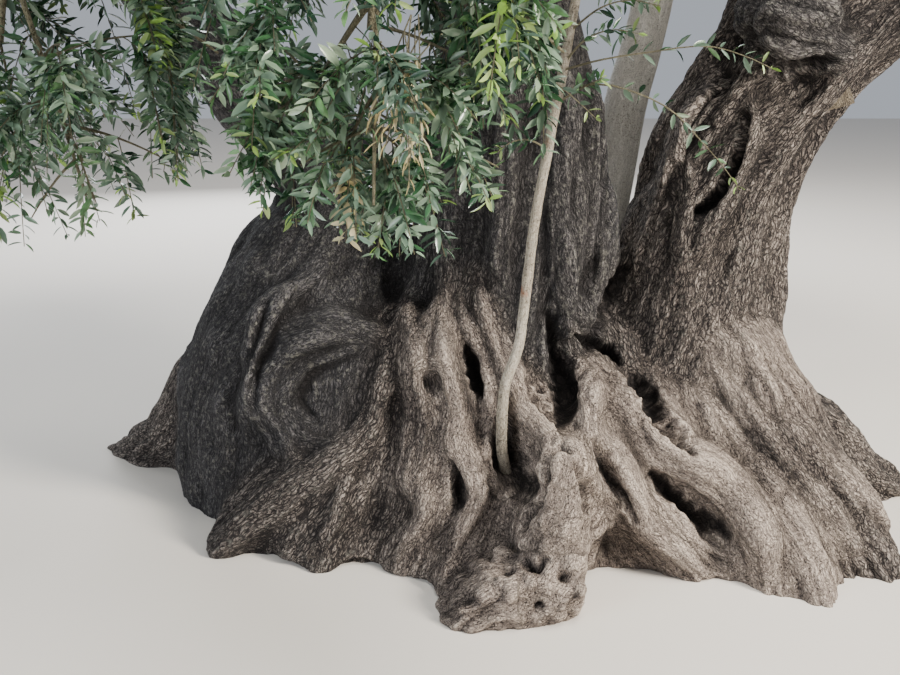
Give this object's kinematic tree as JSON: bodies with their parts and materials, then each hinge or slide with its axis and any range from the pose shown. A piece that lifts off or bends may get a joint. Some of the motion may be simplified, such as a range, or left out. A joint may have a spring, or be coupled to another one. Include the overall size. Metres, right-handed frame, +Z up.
{
  "type": "olive tree",
  "caption": "Ancient olive tree with a wide fluted trunk, flaring roots, leaning boughs and a spreading crown.",
  "frame": {"origin": "in the flat cut at ground level, under the middle of the trunk's foot", "axes": "+Z up; +X to the viewer's right and +Y away from the viewer, who faces the side with the bowl and the sucker"},
  "size_m": [7.6396, 5.7907, 5.9033],
  "materials": {
    "bark": "deeply furrowed, matt, grey-brown",
    "pale_bark": "smooth young bark, matt, pale grey",
    "leaves": "leathery leaves, grey-green, silvery beneath"
  },
  "bodies": {
    "root": {"bough_left": "bark", "bough_middle": "bark", "bough_right": "bark", "bough_rising": "bark", "branch_left_back": "bark", "branch_left_front": "bark", "branch_left_outer": "bark", "branch_left_top": "bark", "branch_middle_back": "bark", "branch_middle_front": "bark", "branch_right_back": "bark", "branch_right_front": "bark", "branch_right_outer": "bark", "branch_right_top": "bark", "branch_spray_front": "bark", "branch_spray_left": "bark", "branch_top_back": "bark", "branch_top_front": "bark", "foliage_left_back": "leaves", "foliage_left_front": "leaves", "foliage_left_outer": "leaves", "foliage_left_top": "leaves", "foliage_middle_back": "leaves", "foliage_middle_front": "leaves", "foliage_right_back": "leaves", "foliage_right_front": "leaves", "foliage_right_outer": "leaves", "foliage_right_top": "leaves", "foliage_spray_front": "leaves", "foliage_spray_left": "leaves", "foliage_top_back": "leaves", "foliage_top_front": "leaves", "foliage_tuft_sucker": "leaves", "foliage_tuft_young": "leaves", "sucker": "pale_bark", "trunk": "bark", "young_stem": "pale_bark"}
  },
  "joints": []
}
